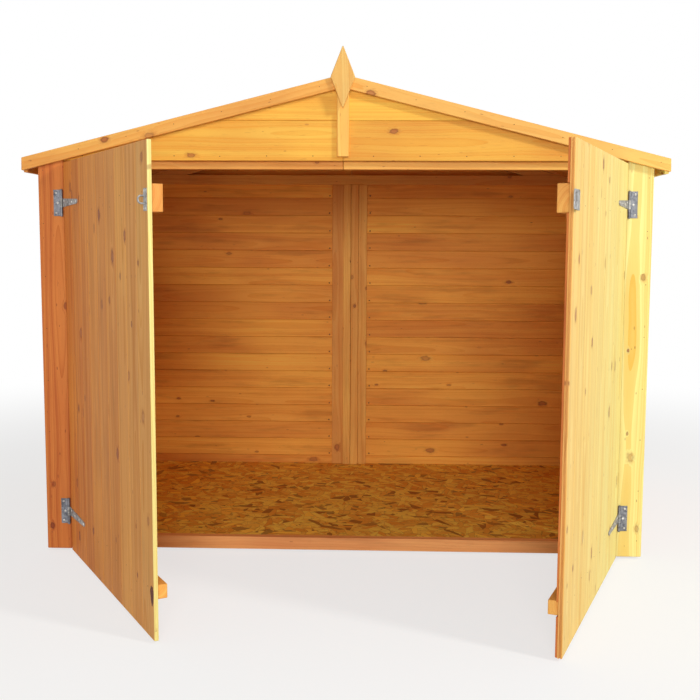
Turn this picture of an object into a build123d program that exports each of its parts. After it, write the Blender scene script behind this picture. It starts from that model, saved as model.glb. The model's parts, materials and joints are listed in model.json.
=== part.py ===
from build123d import *
import math
import os

# Apex timber bike shelter with a pair of ledged front doors, in millimetres.
# The pieces are laid out with Y = 0 on the outer face of the front boards and
# Y growing towards the back. When a piece is written it is moved so that the
# origin is on the ground, in the middle of the shelter's footprint.

# Body
body_width = 1830.0
body_depth = 1130.0
ground_gap = 6.0
board = 12.0
frame_depth = 28.0
frame_face = 34.0
frame_clearance = 2.0

# Roof and its trim, measured at the top edge of the bargeboards
roof_pitch = 14.14
eave_rise = 14.1
side_overhang = 43.5
roof_overhang = 4.0
bargeboard_thickness = 16.0
bargeboard_width = 37.0
trim_upstand = 3.0
felt = 2.0
roof_sheet = 11.0
felt_turndown = 20.0
fascia_width = 38.0
ridge_beam_height = 45.0

# Finial and the batten over the joint of the front gable
finial_width = 71.0
finial_height = 174.0
finial_thickness = 12.0
finial_chamfer = 2.0
gable_batten_width = 36.0
gable_batten_rise = 12.0
gable_batten_chamfer = 3.0

# Floor
bearer_height = 34.0
bearer_width = 50.0
bearer_count = 3
bearer_inset = 55.0
floor_sheet = 11.0
floor_joint_front = 152.0
floor_joint_back = -8.0
joint_gap = 1.0

# Doorway and door leaves
corner_board_width = 76.0
side_trim_width = 45.0
hinge_gap = 5.0
meeting_gap = 5.0
door_height = 1184.0
door_board = 11.0
stop_clearance = 5.0
head_gap = 7.0
head_rail_height = 23.5
left_door_open = 59.7
right_door_open = 69.3

# Door ledges, braces and the strips along the right leaf's free edge
ledge_inset_free = 12.0
ledge_inset_hinge = 45.0
top_ledge_height = 65.0
top_ledge_depth = 30.0
top_ledge_drop = 99.0
bottom_ledge_height = 35.0
bottom_ledge_depth = 27.0
bottom_ledge_rise = 98.0
brace_width = 60.0
brace_depth = 20.0
edge_strip_width = 40.0
edge_strip_depth = 6.0
edge_strip_inset = 3.0

# Back wall
back_joint_x = -13.0
back_batten_width = 30.0
back_flank_left = 45.0
back_flank_right = 34.0
back_flank_depth = 14.0
back_rail_height = 37.5
back_rail_drop = 3.5
cover_strip_width = 45.0

# Tee hinges
hinge_sheet = 2.0
hinge_pin_radius = 2.5
hinge_knuckle_radius = 4.5
hinge_pin_clearance = 0.08
hinge_pin_set = 5.5
hinge_lift = 0.3
hinge_knuckle_gap = 0.5
hinge_pin_head = 2.0
hinge_plate_height = 78.0
hinge_plate_width = 20.0
hinge_strap_length = 180.0
hinge_strap_root = 26.0
hinge_strap_tip = 13.0
upper_hinge_drop = 119.0
lower_hinge_rise = 120.0

# Hasp and staple
hasp_height = 44.0
hasp_sheet = 2.0
hasp_knuckle_radius = 4.25
hasp_pin_radius = 1.8
hasp_lift = 0.3
hasp_axis_inset = 14.0
hasp_plate_width = 43.0
hasp_flap_length = 58.0
hasp_flap_corner = 6.0
hasp_flap_neck = 1.0
hasp_drop = 136.0
hasp_slot_height = 32.0
hasp_slot_width = 15.0
staple_wire = 4.5
staple_bend = 7.9
staple_height = 22.0
staple_reach = 20.0
staple_plate_height = 52.0
staple_plate_width = 24.0
staple_plate_sheet = 1.5
staple_inset = 15.5

# Sizes that follow from the ones above
half_width = body_width / 2
door_bottom = ground_gap
door_top = door_bottom + door_height
gable_bottom = door_top + head_gap
floor_top = bearer_height + floor_sheet
roof_half_width = half_width + side_overhang
pitch_tangent = math.tan(math.radians(roof_pitch))
pitch_cosine = math.cos(math.radians(roof_pitch))
ridge_height = door_top + eave_rise + pitch_tangent * roof_half_width
roof_build_up = trim_upstand + felt + roof_sheet
corner_inner_x = half_width - corner_board_width
pin_x = corner_inner_x + hinge_pin_set
pin_y = -hinge_knuckle_radius - hinge_lift
leaf_outer_x = corner_inner_x - hinge_gap
leaf_inner_x = meeting_gap / 2
stop_y = door_board + edge_strip_depth + stop_clearance
stop_back_y = stop_y + frame_depth
side_board_x = half_width - board
side_frame_x = side_board_x - board
frame_inner_x = side_frame_x - frame_depth
post_inner_x = corner_inner_x + frame_clearance
floor_edge_x = side_frame_x - frame_clearance
back_board_y = body_depth - 2 * board
back_frame_y = back_board_y - frame_depth
upper_hinge_z = door_top - upper_hinge_drop
lower_hinge_z = door_bottom + lower_hinge_rise
hasp_z = door_top - hasp_drop
hasp_axis_x = leaf_inner_x + hasp_axis_inset
hasp_axis_y = -hasp_knuckle_radius - hasp_lift
hasp_face_y = hasp_axis_y - hasp_knuckle_radius
staple_x = leaf_inner_x + staple_inset

os.makedirs("parts", exist_ok=True)


def save(name, *solids):
    """Write one node, moved so that the origin is the middle of the footprint."""
    placed = [Pos(0, -body_depth / 2, 0) * solid for solid in solids]
    shape = Compound(children=placed) if len(placed) > 1 else placed[0]
    export_step(shape, f"parts/{name}.step")


def block(x0, x1, y0, y1, z0, z1):
    """A straight piece of timber given by its six faces."""
    size = Box(x1 - x0, y1 - y0, z1 - z0, align=(Align.MIN, Align.MIN, Align.MIN))
    return Pos(x0, y0, z0) * size


def plate_xz(points, y0, y1):
    """An outline in the front view, given a thickness from y0 back to y1."""
    face = make_face(Polyline(*points, close=True))
    return extrude(Plane.XZ.offset(-y1) * face, amount=y1 - y0)


def both_sides(shape):
    """A piece and its mirror image on the other side of the shelter."""
    return [mirror(shape, about=Plane.YZ), shape]


def roof_z(x, drop=0.0):
    """Height of the roof slope at x, a drop square to the slope below the trim's top edge."""
    return ridge_height - pitch_tangent * abs(x) - drop / pitch_cosine


def roof_space():
    """Everything below the underside of the roof sheets, for trimming tops to the slope."""
    x = roof_half_width
    points = [(-x, 0), (x, 0), (x, roof_z(x, roof_build_up)),
              (0, roof_z(0, roof_build_up)), (-x, roof_z(x, roof_build_up))]
    return plate_xz(points, -board, body_depth + board)


def slope_band(x0, x1, top_drop, bottom_drop, y0, y1):
    """A board that follows the right-hand slope between two drops, with upright ends."""
    points = [(x0, roof_z(x0, top_drop)), (x1, roof_z(x1, top_drop)),
              (x1, roof_z(x1, bottom_drop)), (x0, roof_z(x0, bottom_drop))]
    return plate_xz(points, y0, y1)


below_roof = roof_space()


# Floor: bearers on the ground, two sheets on top and the sill across the doorway

def floor_bearers():
    span = body_depth - 2 * bearer_inset - bearer_width
    for i in range(bearer_count):
        y = bearer_inset + i * span / (bearer_count - 1)
        yield block(-floor_edge_x, floor_edge_x, y, y + bearer_width, 0, bearer_height)


def floor_sheets():
    front_y = stop_back_y
    back_y = back_board_y - frame_clearance
    half_gap = joint_gap / 2
    left = [(-floor_edge_x, front_y), (floor_joint_front - half_gap, front_y),
            (floor_joint_back - half_gap, back_y), (-floor_edge_x, back_y)]
    right = [(floor_edge_x, front_y), (floor_joint_front + half_gap, front_y),
             (floor_joint_back + half_gap, back_y), (floor_edge_x, back_y)]
    for points in (left, right):
        face = make_face(Polyline(*points, close=True))
        yield Pos(0, 0, bearer_height) * extrude(face, amount=floor_sheet)


left_sheet, right_sheet = floor_sheets()
save("floor_bearers", *floor_bearers())
save("floor_sheet_left", left_sheet)
save("floor_sheet_right", right_sheet)
save("sill", block(-post_inner_x, post_inner_x, stop_y, stop_back_y, ground_gap, floor_top))

# Front wall: corner boards, the posts behind them, and the head of the doorway

corner_board = block(corner_inner_x, half_width, 0, board, ground_gap, ridge_height) & below_roof
front_post = block(post_inner_x, side_frame_x, board, stop_back_y, ground_gap, ridge_height)
head_rail = block(joint_gap / 2, post_inner_x, stop_y, stop_back_y,
                  gable_bottom - head_rail_height, gable_bottom)
gable_rail = block(-post_inner_x, post_inner_x, board, board + frame_depth,
                   gable_bottom, gable_bottom + frame_depth) & below_roof
gable_panel = block(joint_gap / 2, corner_inner_x, 0, board,
                    gable_bottom, ridge_height) & below_roof


def rafter(rail_top, y0, y1):
    """A sloping frame piece that feathers out on top of the rail below it."""
    above_rail = block(joint_gap / 2, half_width, y0, y1, rail_top, ridge_height)
    band = slope_band(joint_gap / 2, half_width, roof_build_up, roof_build_up + frame_face, y0, y1)
    return above_rail & band


save("corner_boards_front", *both_sides(corner_board))
save("front_posts", *both_sides(front_post & below_roof))
save("head_rails", *both_sides(head_rail))
save("front_gable_rail", gable_rail)
save("front_gable_panels", *both_sides(gable_panel))
save("front_rafters", *both_sides(rafter(gable_bottom + frame_depth, board, board + frame_depth)))

# Side walls: cladding, rails and posts

side_top = roof_z(side_board_x, roof_build_up)
side_wall = block(side_frame_x, side_board_x, board, back_board_y, ground_gap, side_top)
side_rail_low = block(frame_inner_x, side_frame_x, stop_back_y, back_board_y,
                      floor_top, floor_top + frame_depth)
side_rail_top = block(frame_inner_x, side_frame_x, stop_back_y, back_board_y,
                      side_top - frame_depth, side_top)


def side_posts():
    """The middle post and the back post of the right-hand wall, between its rails."""
    middle_y = (stop_back_y + back_board_y - frame_face) / 2
    for y, width in ((middle_y, frame_face), (back_frame_y, frame_depth)):
        yield block(frame_inner_x, side_frame_x, y, y + width,
                    floor_top + frame_depth, side_top - frame_depth)


save("side_wall_left", mirror(side_wall, about=Plane.YZ))
save("side_wall_right", side_wall)
save("side_rails", *both_sides(side_rail_low), *both_sides(side_rail_top))
save("side_posts", *[piece for post in side_posts() for piece in both_sides(post)])

# Back wall: two panels that meet under a cover strip, with battens and a rail inside

back_panel_left = block(-side_board_x, back_joint_x - joint_gap / 2, back_board_y,
                        back_board_y + board, ground_gap, ridge_height)
back_panel_right = block(back_joint_x + joint_gap / 2, side_board_x, back_board_y,
                         back_board_y + board, ground_gap, ridge_height)
back_rail_bottom = door_top - back_rail_drop
back_rail_top = back_rail_bottom + back_rail_height
back_rail = block(-frame_inner_x, frame_inner_x, back_frame_y, back_board_y,
                  back_rail_bottom, back_rail_top)
cover_strip = block(back_joint_x - cover_strip_width / 2, back_joint_x + cover_strip_width / 2,
                    back_board_y + board, body_depth, ground_gap, ridge_height)


def back_batten(side, flank):
    """A deep batten beside the joint with a shallow flank on its outer side."""
    x0 = joint_gap / 2
    x1 = x0 + back_batten_width
    x2 = x1 + flank
    flank_y = back_board_y - back_flank_depth
    outline = [(x0, back_board_y), (x2, back_board_y), (x2, flank_y), (x1, flank_y),
               (x1, back_frame_y), (x0, back_frame_y)]
    points = [(back_joint_x + side * x, y) for x, y in outline]
    face = make_face(Polyline(*points, close=True))
    return Pos(0, 0, floor_top) * extrude(face, amount=back_rail_bottom - floor_top)


save("back_wall_left", back_panel_left & below_roof)
save("back_wall_right", back_panel_right & below_roof)
save("back_battens", back_batten(-1, back_flank_left), back_batten(1, back_flank_right))
save("back_rail", back_rail & below_roof)
save("back_rafters", *both_sides(rafter(back_rail_top, back_frame_y, back_board_y)))
save("back_cover_strip", cover_strip & below_roof)

# Corner trims on the sides and at the back

corner_back = block(corner_inner_x, half_width, back_board_y + board, body_depth,
                    ground_gap, ridge_height) & below_roof
trim_top = roof_z(half_width, roof_build_up)
side_trim_front = block(side_board_x, half_width, board, board + side_trim_width,
                        ground_gap, trim_top)
side_trim_back = block(side_board_x, half_width, back_board_y + board - side_trim_width,
                       back_board_y + board, ground_gap, trim_top)
save("corner_boards_back", *both_sides(corner_back))
save("side_corner_trims", *both_sides(side_trim_front), *both_sides(side_trim_back))

# Roof: ridge beam, two sheets, eaves fascias and one folded sheet of felt

roof_front_y = -roof_overhang
roof_back_y = body_depth + roof_overhang
fascia_x = roof_half_width - felt - board
sheet_drop = trim_upstand + felt


def ridge_beam():
    half = frame_depth / 2
    bottom = roof_z(0, roof_build_up) - ridge_beam_height
    beam = block(-half, half, board + frame_depth, back_frame_y, bottom, ridge_height)
    return beam & below_roof


def roof_felt():
    """Both slopes and the turned-down edges as one folded sheet."""
    outer_x = roof_half_width
    inner_x = outer_x - felt
    outer = [(outer_x, roof_z(outer_x, trim_upstand)), (0, roof_z(0, trim_upstand)),
             (-outer_x, roof_z(outer_x, trim_upstand))]
    inner = [(-inner_x, roof_z(inner_x, sheet_drop)), (0, roof_z(0, sheet_drop)),
             (inner_x, roof_z(inner_x, sheet_drop))]
    edge_z = roof_z(outer_x, sheet_drop) - felt_turndown
    points = ([(outer_x, edge_z)] + outer + [(-outer_x, edge_z), (-inner_x, edge_z)]
              + inner + [(inner_x, edge_z)])
    return plate_xz(points, roof_front_y, roof_back_y)


roof_slab = slope_band(joint_gap / 2, fascia_x, sheet_drop, roof_build_up,
                       roof_front_y, roof_back_y)
fascia_top = roof_z(roof_half_width - felt, sheet_drop)
fascia = block(fascia_x, roof_half_width - felt, roof_front_y, roof_back_y,
               fascia_top - fascia_width, fascia_top)
save("ridge_beam", ridge_beam())
save("roof_sheet_left", mirror(roof_slab, about=Plane.YZ))
save("roof_sheet_right", roof_slab)
save("eaves_fascias", *both_sides(fascia))
save("roof_felt", roof_felt())

# Bargeboards, finials and the batten on the front gable


def bargeboards(y0, y1):
    board_slope = slope_band(joint_gap / 2, roof_half_width, 0, bargeboard_width, y0, y1)
    return both_sides(board_slope)


def finial(y0, outer_face):
    """An upright diamond above the ridge, with the edges of its outer face taken off."""
    middle = ridge_height - pitch_tangent * finial_width / 2
    tip = middle + finial_height / 2
    points = [(0, tip), (finial_width / 2, middle),
              (0, tip - finial_height), (-finial_width / 2, middle)]
    diamond = plate_xz(points, y0, y0 + finial_thickness)
    return chamfer(diamond.faces().sort_by(Axis.Y)[outer_face].edges(), finial_chamfer)


def gable_batten():
    half = gable_batten_width / 2
    bottom = gable_bottom + gable_batten_rise
    batten = block(-half, half, -board, 0, bottom, ridge_height)
    edges = batten.edges().filter_by(Axis.Z).group_by(Axis.Y)[0]
    batten = chamfer(edges, gable_batten_chamfer)
    clear_of_trim = plate_xz([(-half, 0), (half, 0), (half, roof_z(half, bargeboard_width)),
                              (0, roof_z(0, bargeboard_width)),
                              (-half, roof_z(half, bargeboard_width))], -board, 0)
    return batten & clear_of_trim


trim_front_y = roof_front_y - bargeboard_thickness
trim_back_y = roof_back_y + bargeboard_thickness
save("bargeboards_front", *bargeboards(trim_front_y, roof_front_y))
save("bargeboards_back", *bargeboards(roof_back_y, trim_back_y))
save("finials", finial(trim_front_y - finial_thickness, 0), finial(trim_back_y, -1))
save("gable_batten", gable_batten())

# Tee hinges: a plate with two outer knuckles and the pin, and a strap with the middle one


def knuckle(x, y, z0, z1, radius, bore=0.0):
    tube = Pos(x, y, z0) * Cylinder(radius, z1 - z0, align=(Align.CENTER, Align.CENTER, Align.MIN))
    if bore:
        tube -= Pos(x, y, z0) * Cylinder(bore, z1 - z0,
                                         align=(Align.CENTER, Align.CENTER, Align.MIN))
    return tube


def hinge_plate(z):
    """The fixed half of the right-hand hinge, with its pin riveted in."""
    half = hinge_plate_height / 2
    middle = hinge_strap_root / 2 + hinge_knuckle_gap
    plate = block(pin_x + hinge_knuckle_radius, pin_x + hinge_knuckle_radius + hinge_plate_width,
                  -hinge_sheet, 0, z - half, z + half)
    for z0, z1 in ((z - half, z - middle), (z + middle, z + half)):
        plate += block(pin_x, pin_x + 2 * hinge_knuckle_radius, -hinge_sheet, 0, z0, z1)
        plate += knuckle(pin_x, pin_y, z0, z1, hinge_knuckle_radius)
    plate += knuckle(pin_x, pin_y, z - half - hinge_pin_head, z + half + hinge_pin_head,
                     hinge_pin_radius)
    return plate


def hinge_strap(z):
    """The tapered moving half, on the outer face of the right-hand leaf."""
    root = hinge_strap_root / 2
    tip = hinge_strap_tip / 2
    end_x = pin_x - hinge_strap_length + tip
    points = [(pin_x, z - root), (pin_x, z + root), (end_x, z + tip), (end_x, z - tip)]
    strap = plate_xz(points, -hinge_sheet, 0)
    strap -= block(leaf_outer_x, pin_x, -hinge_lift, 0, z - root, z + root)
    strap += Pos(end_x, -hinge_sheet / 2, z) * Rot(90, 0, 0) * Cylinder(tip, hinge_sheet)
    strap += knuckle(pin_x, pin_y, z - root, z + root, hinge_knuckle_radius)
    strap -= knuckle(pin_x, pin_y, z - root, z + root, hinge_pin_radius + hinge_pin_clearance)
    return strap


hinge_heights = (lower_hinge_z, upper_hinge_z)
save("hinge_plates", *[piece for z in hinge_heights for piece in both_sides(hinge_plate(z))])

# Door leaves, modelled closed on the right-hand side and then swung open


def swing(shape, side):
    """Open a right-hand (side 1) or mirrored left-hand (side -1) piece about its hinge pin."""
    angle = right_door_open if side > 0 else left_door_open
    if side < 0:
        shape = mirror(shape, about=Plane.YZ)
    pin = Pos(side * pin_x, pin_y, 0)
    return pin * Rot(0, 0, side * angle) * pin.inverse() * shape


def ledge(rise, height, depth):
    return block(leaf_inner_x + ledge_inset_free, leaf_outer_x - ledge_inset_hinge,
                 door_board, door_board + depth, rise, rise + height)


def brace(z0, z1):
    """A slanting brace from the hinge side at the bottom up to the free side."""
    x_low = leaf_outer_x - ledge_inset_hinge - brace_width
    x_high = leaf_inner_x + edge_strip_width + brace_width
    slant = math.atan2(z1 - z0, x_low - x_high)
    half_run = brace_width / math.sin(slant) / 2
    points = [(x_low - half_run, z0), (x_low + half_run, z0),
              (x_high + half_run, z1), (x_high - half_run, z1)]
    return plate_xz(points, door_board, door_board + brace_depth)


def edge_strips(spans):
    x0 = leaf_inner_x + edge_strip_inset
    for z0, z1 in spans:
        yield block(x0, x0 + edge_strip_width, door_board, door_board + edge_strip_depth, z0, z1)


bottom_ledge_z = door_bottom + bottom_ledge_rise
top_ledge_z = door_top - top_ledge_drop - top_ledge_height
leaf_boards = block(leaf_inner_x, leaf_outer_x, 0, door_board, door_bottom, door_top)
ledges = [ledge(bottom_ledge_z, bottom_ledge_height, bottom_ledge_depth),
          ledge(top_ledge_z, top_ledge_height, top_ledge_depth)]
leaf_brace = brace(bottom_ledge_z + bottom_ledge_height, top_ledge_z)
straps = [hinge_strap(z) for z in hinge_heights]

for side, name in ((-1, "left"), (1, "right")):
    save(f"{name}_door_boards", swing(leaf_boards, side))
    save(f"{name}_door_ledges", *[swing(piece, side) for piece in ledges])
    save(f"{name}_door_brace", swing(leaf_brace, side))
    save(f"{name}_door_straps", *[swing(piece, side) for piece in straps])

strip_spans = ((door_bottom, bottom_ledge_z),
               (bottom_ledge_z + bottom_ledge_height, top_ledge_z),
               (top_ledge_z + top_ledge_height, door_top))
save("right_door_edge_strips", *[swing(strip, 1) for strip in edge_strips(strip_spans)])

# Hasp on the right leaf, and the staple that comes through its slot on the left leaf

hasp_bottom = hasp_z - hasp_height / 2
hasp_third = hasp_height / 3


def hasp_plate():
    """The fixed half, with two outer knuckles and the pin."""
    plate = block(hasp_axis_x + hasp_knuckle_radius, hasp_axis_x + hasp_plate_width,
                  -hasp_sheet, 0, hasp_bottom, hasp_bottom + hasp_height)
    for z0 in (hasp_bottom, hasp_bottom + 2 * hasp_third):
        z1 = z0 + hasp_third
        plate += block(hasp_axis_x, hasp_axis_x + hasp_plate_width, -hasp_sheet, 0, z0, z1)
        plate += knuckle(hasp_axis_x, hasp_axis_y, z0, z1, hasp_knuckle_radius)
    plate += knuckle(hasp_axis_x, hasp_axis_y, hasp_bottom, hasp_bottom + hasp_height,
                     hasp_pin_radius)
    return plate


def hasp_flap():
    """The swinging half: a rounded sheet with an upright slot, level with the knuckle's top."""
    z0 = hasp_bottom + hasp_third + hinge_knuckle_gap
    z1 = hasp_bottom + 2 * hasp_third - hinge_knuckle_gap
    end_x = hasp_axis_x - hasp_flap_length
    neck_x = hasp_axis_x - hasp_knuckle_radius - hasp_flap_neck
    back_y = hasp_face_y + hasp_sheet
    flap = block(end_x, neck_x, hasp_face_y, back_y, hasp_bottom, hasp_bottom + hasp_height)
    flap = fillet(flap.edges().filter_by(Axis.Y).group_by(Axis.X)[0], hasp_flap_corner)
    flap += block(neck_x - hasp_flap_neck, hasp_axis_x, hasp_face_y, back_y, z0, z1)
    flap += knuckle(hasp_axis_x, hasp_axis_y, z0, z1, hasp_knuckle_radius)
    flap -= knuckle(hasp_axis_x, hasp_axis_y, z0, z1,
                    hasp_pin_radius + hinge_pin_clearance)
    slot = block(-staple_x - hasp_slot_width / 2, -staple_x + hasp_slot_width / 2,
                 hasp_face_y, back_y,
                 hasp_z - hasp_slot_height / 2, hasp_z + hasp_slot_height / 2)
    return flap - slot


def staple():
    """A small plate with a bent wire loop that stands square to the leaf."""
    plate = block(staple_x - staple_plate_width / 2, staple_x + staple_plate_width / 2,
                  -staple_plate_sheet, 0, hasp_z - staple_plate_height / 2,
                  hasp_z + staple_plate_height / 2)
    leg = (staple_height - staple_wire) / 2
    reach = staple_reach - staple_wire / 2
    path = FilletPolyline((staple_x, 0, hasp_z - leg), (staple_x, -reach, hasp_z - leg),
                          (staple_x, -reach, hasp_z + leg), (staple_x, 0, hasp_z + leg),
                          radius=staple_bend)
    wire = sweep(Plane.XZ * Pos(staple_x, hasp_z - leg) * Circle(staple_wire / 2), path)
    return plate + wire


save("hasp_plate", swing(hasp_plate(), 1))
save("hasp_flap", swing(hasp_flap(), 1))
save("hasp_staple", swing(staple(), -1))
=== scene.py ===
# %% [markdown]
# A timber bike shelter with its doors open
#
# The solids of the shelter come from a packed CAD model, and every Blender piece below is
# fitted to them. The lesson makes its helpers for meshes and materials first. Then come the
# boards, the roof covering, the floor, the ironwork and the nails, and last the light and the
# camera. Blender works in metres here, with Z up and the doorway facing -Y.

# %% Load the CAD frame
import json
import math

import bmesh
import bpy
import numpy as np
from mathutils import Matrix, Vector


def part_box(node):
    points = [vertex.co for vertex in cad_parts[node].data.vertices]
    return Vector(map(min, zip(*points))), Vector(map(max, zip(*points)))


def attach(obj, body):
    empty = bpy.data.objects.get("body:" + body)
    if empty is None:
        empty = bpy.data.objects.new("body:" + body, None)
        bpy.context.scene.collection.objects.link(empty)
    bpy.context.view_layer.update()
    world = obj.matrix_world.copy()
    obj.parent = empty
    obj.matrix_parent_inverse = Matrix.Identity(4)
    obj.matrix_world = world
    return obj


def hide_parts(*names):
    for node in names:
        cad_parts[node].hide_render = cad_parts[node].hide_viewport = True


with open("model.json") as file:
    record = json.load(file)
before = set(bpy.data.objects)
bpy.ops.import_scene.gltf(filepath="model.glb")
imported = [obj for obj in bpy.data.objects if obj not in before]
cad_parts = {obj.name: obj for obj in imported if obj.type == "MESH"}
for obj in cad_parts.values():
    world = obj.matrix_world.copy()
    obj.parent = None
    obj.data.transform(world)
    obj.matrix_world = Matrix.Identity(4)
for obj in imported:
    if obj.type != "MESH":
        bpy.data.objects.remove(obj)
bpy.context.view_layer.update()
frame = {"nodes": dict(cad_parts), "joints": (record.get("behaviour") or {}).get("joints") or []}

nodes = frame["nodes"]
record_joints = {joint["name"]: joint for joint in frame["joints"]}
rng = np.random.default_rng(41)
X, Y, Z = np.eye(3)

# %% [markdown]
# Reading sizes from the frame
#
# A board that replaces a CAD solid has to lie exactly where that solid lies. We could type
# its numbers in again, but then a change to the model would leave the boards behind, so each
# size is read from the node's own vertices. A door is stored standing open. Its pieces are
# laid out as if it were shut, because then they are square to the axes, and are swung open
# about the hinge pin at the end.

# %% Helpers that read the frame


def vertices(node):
    """A CAD node's vertices as an array of rows x, y, z."""
    mesh = nodes[node].data
    flat = np.zeros(len(mesh.vertices) * 3)
    mesh.vertices.foreach_get("co", flat)
    return flat.reshape(-1, 3)


def swing(points, door, opening=1.0):
    """Turns points about a door's pin from shut to the angle it rests at, or back with -1."""
    if door is None:
        return points
    joint = record_joints[f"{door}_door_hinge"]
    angle = -math.radians(joint["range_deg"][0]) * joint["axis"][2] * opening
    pin = np.array([joint["pos_m"][0], joint["pos_m"][1], 0.0])
    turn = np.array([[math.cos(angle), -math.sin(angle), 0.0],
                     [math.sin(angle), math.cos(angle), 0.0],
                     [0.0, 0.0, 1.0]])
    return (points - pin) @ turn.T + pin


same_place = 1e-5
tenths_of_mm = 4


def solids(node, door=None):
    """Lowest and highest corners of each separate solid of a node, with its door shut."""
    shape = bmesh.new()
    shape.from_mesh(nodes[node].data)
    bmesh.ops.remove_doubles(shape, verts=shape.verts, dist=same_place)
    found, unseen = [], set(shape.verts)
    while unseen:
        island, edge_of_search = set(), [unseen.pop()]
        while edge_of_search:
            vertex = edge_of_search.pop()
            island.add(vertex)
            for edge in vertex.link_edges:
                other = edge.other_vert(vertex)
                if other in unseen:
                    unseen.discard(other)
                    edge_of_search.append(other)
        points = swing(np.array([tuple(v.co) for v in island]), door, -1.0)
        found.append((points.min(0), points.max(0)))
    shape.free()
    return sorted(found, key=lambda box: tuple(np.round(box[0], tenths_of_mm)))


felt_points = vertices("roof_felt")
roof_half_width = felt_points[:, 0].max()
felt_apex = felt_points[:, 2].max()
at_eaves = felt_points[:, 0] > roof_half_width - same_place
slope = (felt_apex - felt_points[at_eaves, 2].max()) / roof_half_width
slope_angle = math.atan(slope)
sin_pitch, cos_pitch = math.sin(slope_angle), math.cos(slope_angle)
ridge_top = solids("bargeboards_front")[0][1][2]
sheet_low, sheet_high = solids("roof_sheet_right")[0]
roof_build_up = (ridge_top - slope * sheet_high[0] - sheet_low[2]) * cos_pitch


def roof_height(x, drop=0.0):
    """Height of the bargeboard's top edge over x, less a drop square to the slope."""
    return ridge_top - slope * np.abs(x) - drop / cos_pitch


print(f"roof pitch {math.degrees(slope_angle):.2f} degrees, "
      f"build-up {roof_build_up * 1000:.1f} mm")

# %% [markdown]
# Sections of boards
#
# Nearly everything on this shelter is a length of sawn timber: one cross section carried
# along a straight line. There are two kinds of section. Planed trim is a rectangle with eased
# arrises, and wall and door boards are matchboard, whose tongue fits the next one's groove.
# Both are lists of points (s, d), with s across the board's face and d out of it.

# %% The two sections

tongue_top = 0.36
tongue_foot = 0.66
corner_steps = 2


def rounded_rectangle(width, thickness, radius):
    """From s = 0..width and d = -thickness..0: straight sides and quarter-circle corners."""
    angles = np.linspace(0, math.pi / 2, corner_steps + 1)
    corner = np.stack([np.cos(angles), np.sin(angles)], 1) * radius
    centres = [(width - radius, -radius, 0), (radius, -radius, 1),
               (radius, radius - thickness, 2), (width - radius, radius - thickness, 3)]
    rows = []
    for s, d, quarter in centres:
        a = quarter * math.pi / 2
        turn = np.array([[math.cos(a), math.sin(a)], [-math.sin(a), math.cos(a)]])
        rows.append(corner @ turn + (s, d))
    return np.concatenate(rows)


def tongue_and_groove(width, thickness, joint=0.0008, vee=0.0014, tongue=0.005):
    """Vee edges on the face, a tongue on the far side and a slightly slack groove on the near."""
    low, high = joint / 2, width - joint / 2
    upper, lower = -tongue_top * thickness, -tongue_foot * thickness
    slack = 0.0003
    return np.array([
        (high, -vee), (high - vee, 0), (low + vee, 0), (low, -vee),
        (low, upper + slack), (low + tongue + slack, upper + slack),
        (low + tongue + slack, lower - slack), (low, lower - slack),
        (low, -thickness), (high, -thickness), (high, lower),
        (high + tongue, lower), (high + tongue, upper), (high, upper),
    ])


print("points round a matchboard:", len(tongue_and_groove(0.07, 0.012)))

# %% [markdown]
# Sweeping a section
#
# A cube with a Bevel modifier would do for a single board, but not for tongues and grooves or ends
# cut to the slope of the roof. So a board is computed as a grid of (place along the board, place
# round its section). Each point also stores where it sits in its own piece of wood, in an
# attribute named grain, so that the growth rings of the material run along every board whichever
# way it lies. Two more attributes are numbers: tone differs from board to board, and the other
# says how much painted sunlight that side of the board is given, a pale straw colour that stands
# for the sun's glare on it.

# %% The sweep

nearest_pith = (0, -0.035, 0.015)
furthest_pith = (40, 0.035, 0.06)


def between_rings(rings, count):
    """Quads that join each ring of count points to the next one, closed round the ring."""
    i, j = np.meshgrid(np.arange(rings - 1), np.arange(count), indexing="ij")
    k = (j + 1) % count
    return np.stack([i * count + j, i * count + k, (i + 1) * count + k, (i + 1) * count + j],
                    -1).reshape(-1, 4)


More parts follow.
